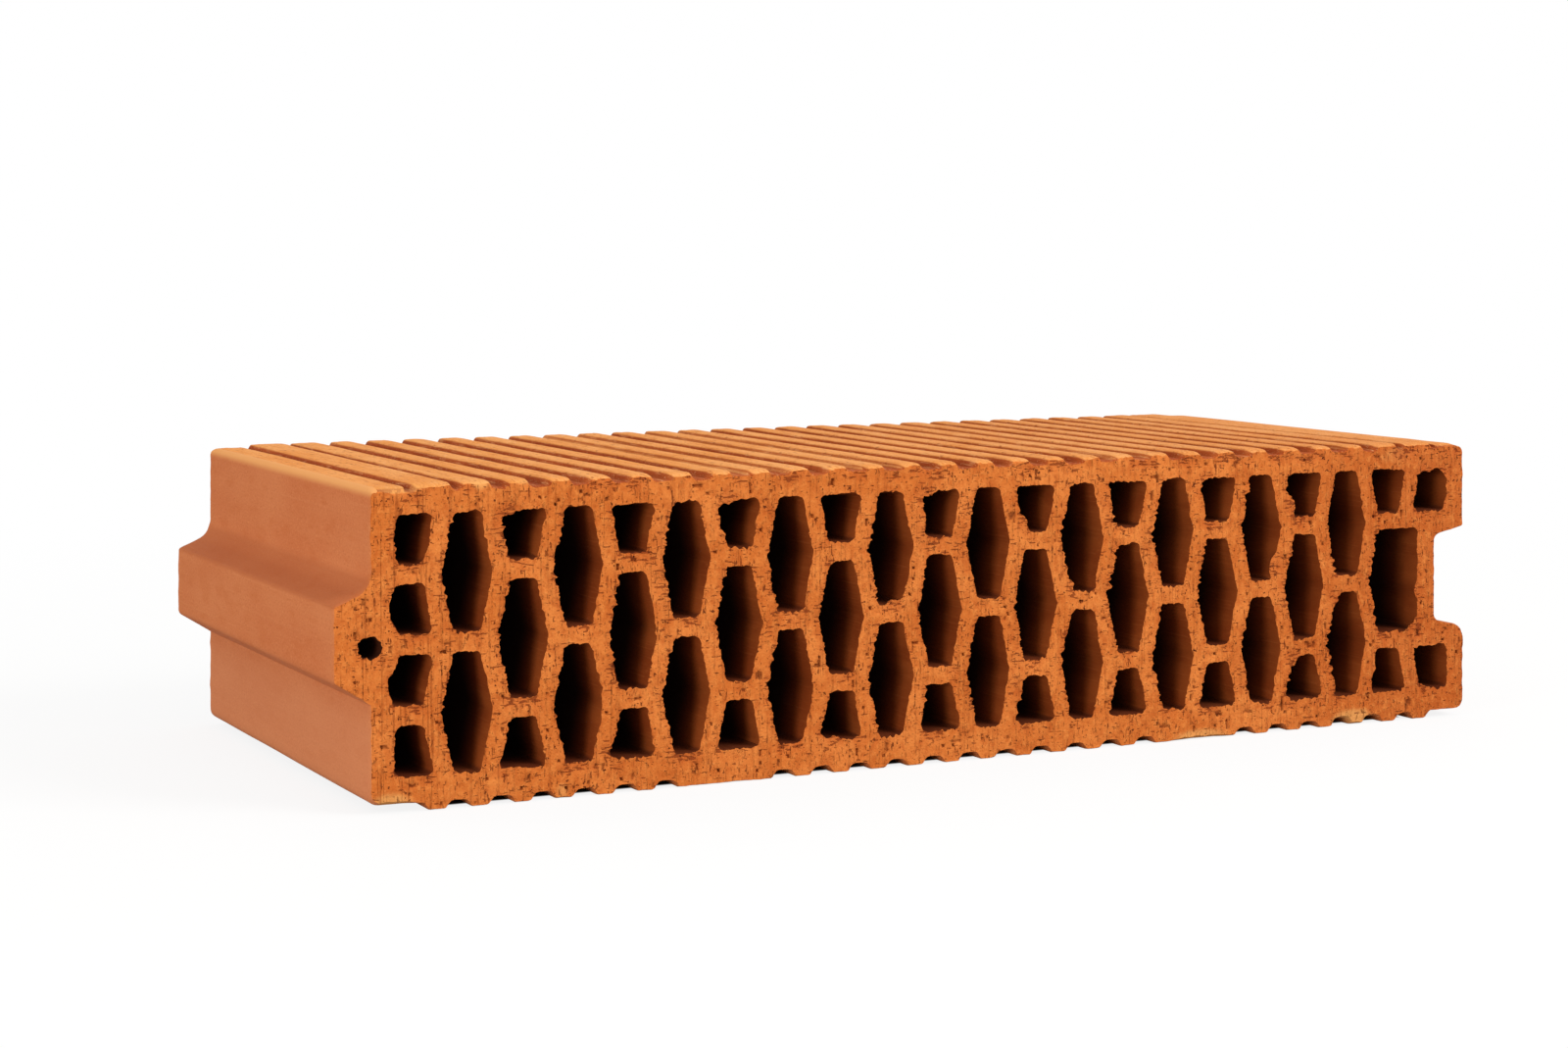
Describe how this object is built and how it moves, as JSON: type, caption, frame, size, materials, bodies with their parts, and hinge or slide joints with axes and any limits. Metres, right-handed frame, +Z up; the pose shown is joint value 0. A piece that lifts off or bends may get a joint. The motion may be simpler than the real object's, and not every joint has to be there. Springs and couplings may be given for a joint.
{
  "type": "perforated clay block",
  "caption": "Fired clay partition block with a tongue and a groove, ribbed broad faces and rows of tall through holes.",
  "frame": {"origin": "on the floor under the middle of the block's overall box, tongue included", "axes": "+X towards the grooved end, +Y along the extrusion away from the pictured cut face, +Z up"},
  "size_m": [0.514, 0.219, 0.12],
  "materials": {
    "fired_clay": "matte fired orange clay, wire-cut ends and ribbed extruded sides"
  },
  "bodies": {
    "root": {"clay_block": "fired_clay"}
  },
  "joints": []
}
